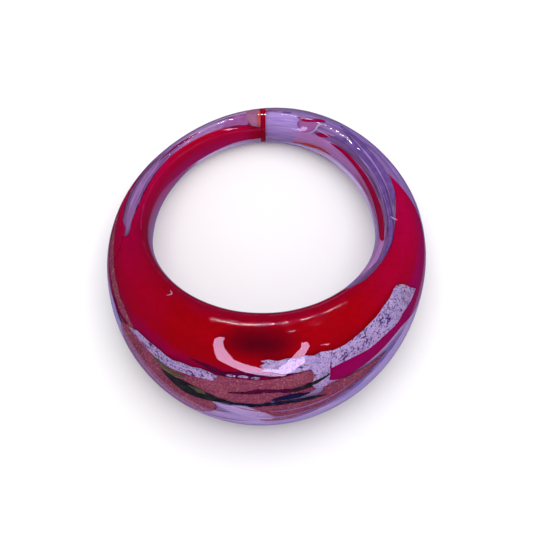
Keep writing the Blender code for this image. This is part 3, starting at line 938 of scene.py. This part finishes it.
# %% Leaf metal
silver, net = new_material("silver_leaf")
spot = net.on_piece()
tarnish = net.noise(spot, 1500.0, detail=4.0, roughness=0.7)
wander = [net.noise(spot, 900.0, "Color"), (0.0006,) * 3, spot]
wander = net.node("ShaderNodeVectorMath", {"operation": "MULTIPLY_ADD"}, wander)
edges = {"feature": "DISTANCE_TO_EDGE"}
# The creases sink in the bump and are also darker in the colour; that darker colour is painted
# shade.
crease_light_and_shade = net.node("ShaderNodeTexVoronoi", edges, {"Vector": wander, "Scale": 2600.0})
crease_light_and_shade = (crease_light_and_shade * 9).maths("MINIMUM", 1.0)
stops = [(0.30, (0.34, 0.31, 0.56)), (0.45, (0.84, 0.86, 1.0)), (0.60, (1.0, 1.0, 1.0))]
tint = net.node("ShaderNodeValToRGB", {"stops": stops}, [tarnish * 0.75 + crease_light_and_shade * 0.16])
relief = {"Height": tarnish + crease_light_and_shade * 0.5, "Strength": 0.8, "Distance": 0.00005}
show(net, net.node("ShaderNodeBsdfPrincipled", {}, {
    "Base Color": tint, "Metallic": 0.45, "Roughness": 0.25 + tarnish * 0.4,
    "Normal": net.node("ShaderNodeBump", {}, relief)}))
leaf_shadow = inner_glass("leaf_shadow", (0.13, 0.08, 0.22), (0.28, 0.16, 0.36), 1500.0)

# %% Where it tears
LEAF_INPUTS = ("Cell Size", "Crack Width", "Leaf Thickness", "Stretch", "Slits")
leaf_tree, net, given = new_tree("torn_leaf", LEAF_INPUTS)
around, section = net.angles(net.node("GeometryNodeInputPosition"), 2)
paper = [around * 0.25, section * 0.11 / given["Stretch"], 0.0]
paper = net.node("ShaderNodeCombineXYZ", {}, paper)
bend = [net.noise(paper, 4.0, "Color", detail=2.0), (0.35, 0.35, 0.0), paper]
bend = net.node("ShaderNodeVectorMath", {"operation": "MULTIPLY_ADD"}, bend)
cells = {"Vector": bend, "Scale": 1 / given["Cell Size"]}
crack = net.node("ShaderNodeTexVoronoi", edges, cells)
limit = given["Crack Width"] * (net.noise(paper, 1.4, detail=2.0) * 3.4 - 1.5)
slit_space = [around * 0.9 + section * 0.12, section * 0.13 - around * 0.1, 0.0]
slits = net.noise(net.node("ShaderNodeCombineXYZ", {}, slit_space), 1.9, detail=1.5)
torn = (crack < limit).maths("MAXIMUM", slits > 1 - given["Slits"])

# %% Delete the cracks, thicken the rest and lay it
kept = net.node("GeometryNodeDeleteGeometry", {"domain": "FACE"}, {
    "Geometry": given["Geometry"], "Selection": torn})
lift = net.node("ShaderNodeCombineXYZ", {}, [0.0, 0.0, given["Leaf Thickness"]])
thick = net.node("GeometryNodeExtrudeMesh", {}, {"Mesh": kept, "Offset": lift, "Individual": False})
both = net.tree.nodes.new("GeometryNodeJoinGeometry")
net.tree.links.new(thick.socket, both.inputs[0])
net.tree.links.new(net.node("GeometryNodeFlipFaces", {}, [kept]).socket, both.inputs[0])
closed = {"Geometry": Sock(net, both.outputs[0]), "Distance": 1e-5}
closed = net.node("GeometryNodeMergeByDistance", {}, closed)
end_tree(leaf_tree, net, laid_out(net, given, closed), given["Material"])

# %% A leaf and its shadow
LEAF_CELL, SHADOW_CELL = (0.3, 0.7), (1.0, 2.0)
LEAF_SIZES = {"cell_size": 0.42, "leaf_thickness": 0.03, "stretch": 1.7}


def lay_leaf(name, outline, node, crack=0.10, slits=0.38):
    top = top_mesh(name, outline, LEAF_TOP, LEAF_CELL)
    piece = grown_mesh(
        name, top, leaf_tree, silver, crack_width=crack, slits=slits, **LEAF_SIZES)
    lay(name + "_shadow", outline, LEAF_SHADOW_LAYER, leaf_shadow, "silver_leaf", step=SHADOW_CELL)
    hand_over(piece, "silver_leaf", node)


# %% The three torn leaves
LEAF_RIGHT = [
    (61, 26), (56.5, 25.5), (51, 27), (46.5, 25), (40, 28), (33.5, 28), (27.5, 31), (22.5, 32),
    (19.5, 31), (20, 51), (25.5, 51), (31.5, 54), (37, 57), (40, 58), (44, 61), (49, 63), (52, 66),
    (54.5, 65), (57, 54), (58.5, 41),
]
LEAF_CENTRE = [
    (-2, 44), (1, 43), (4, 39.5), (8.5, 38), (13, 38), (14, 28), (12.5, 20), (14, 13), (17.5, 12),
    (18.6, 22), (19.3, 37), (20.5, 52), (17, 55), (14.5, 53), (12, 56), (9, 54.5), (6, 57), (3, 55),
    (0, 57.5), (-2.4, 56), (-1, 53), (-2.8, 50), (-1.2, 47),
]
LEAF_LEFT = [
    (-50, 22), (-45, 20.5), (-40.5, 20), (-36, 18.5), (-32.5, 17.5), (-27, 21), (-20.5, 24),
    (-17, 25), (-15.5, 32), (-18, 34.5), (-21, 35.5), (-24, 33), (-27.5, 33), (-30, 30), (-33, 30),
    (-36, 32), (-39.5, 31.5), (-43, 31), (-46, 30),
]
lay_leaf("leaf_right", LEAF_RIGHT, "silver_leaf_right")
lay_leaf("leaf_centre", LEAF_CENTRE, "silver_leaf_centre", crack=0.07, slits=0.34)
lay_leaf("leaf_left", LEAF_LEFT, "silver_leaf_left", slits=0.40)

# %% Three specks, and painted glints along creases in the leaves
for letter, a, u, size in (("a", -11.5, 36, 1.5), ("b", -7.8, 36.5, 1.7), ("c", -4.2, 35.5, 1.5)):
    corners = [
        (a - size, u - 0.6), (a - 0.2, u - 1.6), (a + size * 0.9, u - 1.0),
        (a + size, u + 0.8), (a + 0.1, u + 1.7), (a - size * 0.6, u + 1.1),
    ]
    lay_leaf(f"speck_{letter}", corners, f"silver_speck_{letter}", crack=0.06, slits=0.42)
# Painted glints: white lines where creases in the leaf catch the light.
LEAF_GLINTS = [
    [(-1, 47), (4, 43), (9, 46), (12, 42)],
    [(3, 53), (8, 50), (13, 52), (17, 47)],
    [(13, 46), (15.5, 36), (15, 24)],
    [(-47, 27), (-42, 26), (-37, 27)],
    [(-31, 26), (-26, 28), (-20, 31)],
]
for count, path in enumerate(LEAF_GLINTS):
    crease_light_and_shade = drawn_line(path, 0.16, seed=count + 71, ragged=0.9)
    lay(f"leaf_crease_{'abcde'[count]}", crease_light_and_shade, LEAF_GLINT_LAYER, glint_white_glass, "silver_leaf")

# %% [markdown]
# ## Copper glitter glass
#
# Aventurine is glass full of tiny flat copper crystals. The ground is a dull pink-brown sheet.
# Over it, the tree scatters points, puts a flat six-sided flake on each, tips it a little, and
# gives it a random size. Flakes that face a lamp flash and the rest stay dark, which is what
# makes the real thing sparkle. The seed is fixed, and each flake has only eight faces.

# %% Ground and flakes
ground, net = new_material("glitter_ground")
spot = net.on_piece()
grains = net.node("ShaderNodeTexVoronoi", {}, {"Vector": spot, "Scale": 9000.0}, "Color")
grain = net.node("ShaderNodeSeparateColor", {}, [grains])
cloud = net.noise(spot, 500.0, detail=3.0)
stops = [
    (0.10, (0.28, 0.06, 0.10)), (0.45, (0.49, 0.13, 0.16)), (0.75, (0.64, 0.21, 0.19)),
    (0.98, (1.0, 0.60, 0.46)),
]
dull(net, net.node("ShaderNodeValToRGB", {"stops": stops}, [grain * 0.55 + cloud * 0.45]), 0.5)

copper, net = new_material("copper_flake")
spot = net.on_piece()
stops = [(0.38, (0.50, 0.15, 0.13)), (0.54, (0.95, 0.45, 0.30)), (0.68, (1.0, 0.82, 0.62))]
warm = net.node("ShaderNodeValToRGB", {"stops": stops}, [net.noise(spot, 6000.0)])
show(net, net.node("ShaderNodeBsdfPrincipled", {}, {
    "Base Color": warm, "Metallic": 0.3, "Roughness": 0.3}))

# %% Scatter the flakes
FLAKE_SIDES, FLAKE_THICKNESS = 6, 0.000008
flake_tree, net, given = new_tree(
    "glitter",
    ("Flakes Per Square Millimetre", "Flake Radius", "Lift"),
)


def chance(kind, low, high, seed, out):
    """A different random value for each flake, the same on every run."""
    names = ("Min", "Max") if kind == "FLOAT" else (0, 1)
    limits = {names[0]: low, names[1]: high, "Seed": seed}
    return net.node("FunctionNodeRandomValue", {"data_type": kind}, limits, out)


points = net.tree.nodes.new("GeometryNodeDistributePointsOnFaces")
net.put(points.inputs["Mesh"], laid_out(net, given, given["Geometry"]))
net.put(points.inputs["Density"], given["Flakes Per Square Millimetre"] / MM**2)
points.inputs["Seed"].default_value = 7
scattered, facing, normal = (Sock(net, points.outputs[n]) for n in ("Points", "Rotation", "Normal"))
height = given["Lift"] * chance("FLOAT", 0.3, 1.0, 3, 1) * MM
up = net.node("ShaderNodeVectorMath", {"operation": "SCALE"}, {0: normal, "Scale": height})
scattered = net.node("GeometryNodeSetPosition", {}, {"Geometry": scattered, "Offset": up})
flake = net.node("GeometryNodeMeshCylinder", {}, {
    "Vertices": FLAKE_SIDES, "Radius": given["Flake Radius"] * MM, "Depth": FLAKE_THICKNESS})
tip = chance("FLOAT_VECTOR", (-0.5, -0.5, 0.0), (0.5, 0.5, 6.28), 5, 0)
tipped = net.node("FunctionNodeRotateRotation", {"rotation_space": "LOCAL"}, {0: facing, 1: tip})
flakes = net.node("GeometryNodeInstanceOnPoints", {}, {
    "Points": scattered, "Instance": flake, "Rotation": tipped,
    "Scale": chance("FLOAT", 0.45, 1.2, 9, 1)})
end_tree(flake_tree, net, flakes, given["Material"])

# %% Lay the glitter
FLAKES, EDGE_FLAKES = 11.0, 16.0


def lay_glitter(name, outline, *nodes, density=FLAKES):
    base = grown_mesh(name, sheet_mesh(name, outline, *GLITTER_LAYER), laying_tree, ground)
    flakes = grown_mesh(
        name + "_flakes", top_mesh("top", outline, FLAKE_DEPTH), flake_tree, copper, lift=0.07,
        flake_radius=0.065, flakes_per_square_millimetre=density)
    hand_over(base, "aventurine", *nodes)
    hand_over(flakes, "aventurine")


GLITTER_FRONT = [
    (-49, 25), (-45, 24), (-38, 22), (-32, 21), (-27, 25), (-20.5, 29), (-16, 33), (-10, 33.5),
    (-5, 33), (1, 33.5), (7, 36), (12, 37), (14, 32), (14, 20), (14, 12), (9, 7), (4.5, 6), (0, 5),
    (-4, 3), (-8.5, 2.5), (-12.5, 4), (-15.5, 1), (-16.5, -4), (-16, -12), (-19, -24), (-25, -40),
    (-34, -48), (-44, -42), (-52, -26), (-54, -8), (-55, 10),
]
GLITTER_LOW = [
    (17, 12), (23.5, 11), (29, 8), (36, 6), (40, 3), (34, -3), (27, -9), (20, -16), (12, -23),
    (4, -27), (-2, -26), (-4, -18), (-5.5, -8), (-7.5, -1.5), (-2, 0), (4.5, 1), (12, 1), (16, 5),
]
EDGE_PATH = [(-94, 48), (-85, 45), (-76, 41), (-68, 37), (-59, 31), (-51, 27), (-46, 24)]
lay_glitter("glitter_front", rounded(GLITTER_FRONT), "aventurine_left", "aventurine_centre")
lay_glitter("glitter_lower", rounded(GLITTER_LOW), "aventurine_lower", "aventurine_right")
edge = drawn_line(EDGE_PATH, 1.25)
lay_glitter("glitter_edge", edge, "aventurine_edge_streak", density=EDGE_FLAKES)

# %% [markdown]
# ## Stringers and a chip
#
# Stringers are hair-thin rods of dark glass, melted on and dragged. Each is a drawn line with an
# uneven width, laid above the glitter. Where a rod was pressed down it left a broader patch.

# %% Dark and olive patches
dark_glass = inner_glass("dark_green_glass", (0.008, 0.018, 0.014), (0.075, 0.105, 0.070), 1500.0)
navy_glass = inner_glass("navy_glass", (0.008, 0.012, 0.05), (0.03, 0.04, 0.14), 1500.0)
green_glass = inner_glass("yellow_green_glass", (0.16, 0.17, 0.05), (0.36, 0.36, 0.14), 1500.0)
DARK_LEFT = [
    (-34.5, 9), (-30, 9.5), (-25.5, 11), (-21.5, 9.5), (-18.5, 7.5), (-14, 4.5), (-8, 2.5),
    (-14, 1), (-19, -1), (-24, -3), (-28, -1), (-31, 2),
]
OLIVE = [
    (-39, 19.5), (-34.5, 17), (-30, 16), (-26, 18), (-27.5, 14), (-31, 10), (-34.5, 12),
    (-37.5, 15.5),
]
lay("dark_patch_left", rounded(DARK_LEFT), DARK_LAYER, dark_glass, "dark_green",
    "dark_stringer_left")
lay("olive_patch", rounded(OLIVE), OLIVE_LAYER, green_glass, "yellow_green")

# %% Dark lines over the glitter
STRINGERS = [
    ("navy_line", [(-14.5, 1), (-8, 2), (-4, 2), (1, 4), (6, 4), (12, 3)], 0.34, navy_glass,
     STRINGER_LAYER, "navy", "navy_stringer"),
    ("navy_smear", [(0.5, 8), (4, 10), (8, 10), (12, 10)], 0.62, navy_glass,
     STRINGER_LAYER, "navy", "navy_green_smear"),
    ("green_line", [(6, 18), (9, 18.5), (14, 21), (19, 25)], 0.5, dark_glass,
     STRINGER_LAYER, "dark_green", "dark_green_streak"),
    ("green_line_low", [(2, 4.5), (7.5, 4), (12, 2.6), (17, 0.5)], 0.4, dark_glass,
     STRINGER_LAYER, "dark_green", "dark_green_lower"),
    ("plum_line", [(-12, 15), (-7, 17), (-2, 20), (3, 19), (8, 17), (13, 17)], 0.4, plum_glass,
     STRINGER_LAYER, "crimson"),
    ("plum_band", [(-25, 42), (-19, 40), (-14, 36), (-8, 38), (-1, 38), (4, 37), (8, 37.5)], 0.7,
     plum_glass, PLUM_LAYER, "crimson"),
]
for count, (name, path, width, material, layer, slot, *nodes) in enumerate(STRINGERS):
    line = drawn_line(path, width, seed=count + 11, ragged=0.6)
    lay(name, line, layer, material, slot, *nodes)

# %% [markdown]
# ## Last touches low on the front
#
# Under the glitter the glass is clear again, with a near-white patch that is a painted highlight, a
# few blue and pale wisps, and threads of copper that were pulled out of the glitter. A small
# yellow-green chip lies nearest the skin of all, on the dark patch.

# %% Painted highlight patch, wisps and the chip
HIGHLIGHT_PATCH = [
    (-17, -1), (-12, -1), (-7.5, 0.5), (-4, -4), (0, -12), (1, -20), (-4, -21), (-9, -17),
    (-13, -9), (-16, -4),
]
# A near-white patch in the clear glass low on the front: a painted highlight.
highlight_patch_glass = mist_glass("highlight_patch_glass", (0.86, 0.86, 0.98), (1.0, 1.0, 1.0))
blue_glass = inner_glass("blue_smear_glass", (0.32, 0.32, 0.62), (0.60, 0.58, 0.90), 1500.0)
lay("pale_patch", rounded(HIGHLIGHT_PATCH), HIGHLIGHT_PATCH_LAYER, highlight_patch_glass, "lilac")
WISPS = [
    ("blue_smear", [(20, -18), (28, -10), (36, -2), (44, 2), (50, 3)], 0.5, blue_glass),
    ("blue_wisp", [(8, -22), (16, -15), (25, -8), (33, -3)], 0.28, blue_glass),
    ("pale_wisp_a", [(0, -6), (8, -7), (18, -5), (27, 0)], 0.16, pale_glass),
    ("pale_wisp_b", [(-4, -15), (5, -17), (14, -14)], 0.20, pale_glass),
    ("pale_wisp_c", [(-47, -4), (-40, -14), (-31, -22), (-23, -25)], 0.20, pale_glass),
]
for name, path, width, material in WISPS:
    wisp = drawn_line(path, width, seed=len(name), ragged=0.7)
    lay(name, wisp, WISP_LAYER, material, "lilac")
COPPER_WISPS = [
    ("copper_wisp_a", [(-23, -14), (-17, -14), (-12, -12)]),
    ("copper_wisp_b", [(-22, -32), (-14, -30), (-6, -27)]),
    ("copper_wisp_c", [(-10, -2), (-5, -5), (2, -9)]),
]
for count, (name, path) in enumerate(COPPER_WISPS):
    wisp = drawn_line(path, 0.16, seed=count + 91, ragged=0.9)
    lay(name, wisp, COPPER_WISP_LAYER, ground, "aventurine")
GREEN_CHIP = [(-25, 9), (-21.5, 10), (-19.5, 9), (-18.8, 5.5), (-21.5, 4)]
lay("green_chip", GREEN_CHIP, CHIP_LAYER, green_glass, "yellow_green", "yellow_green_chip")
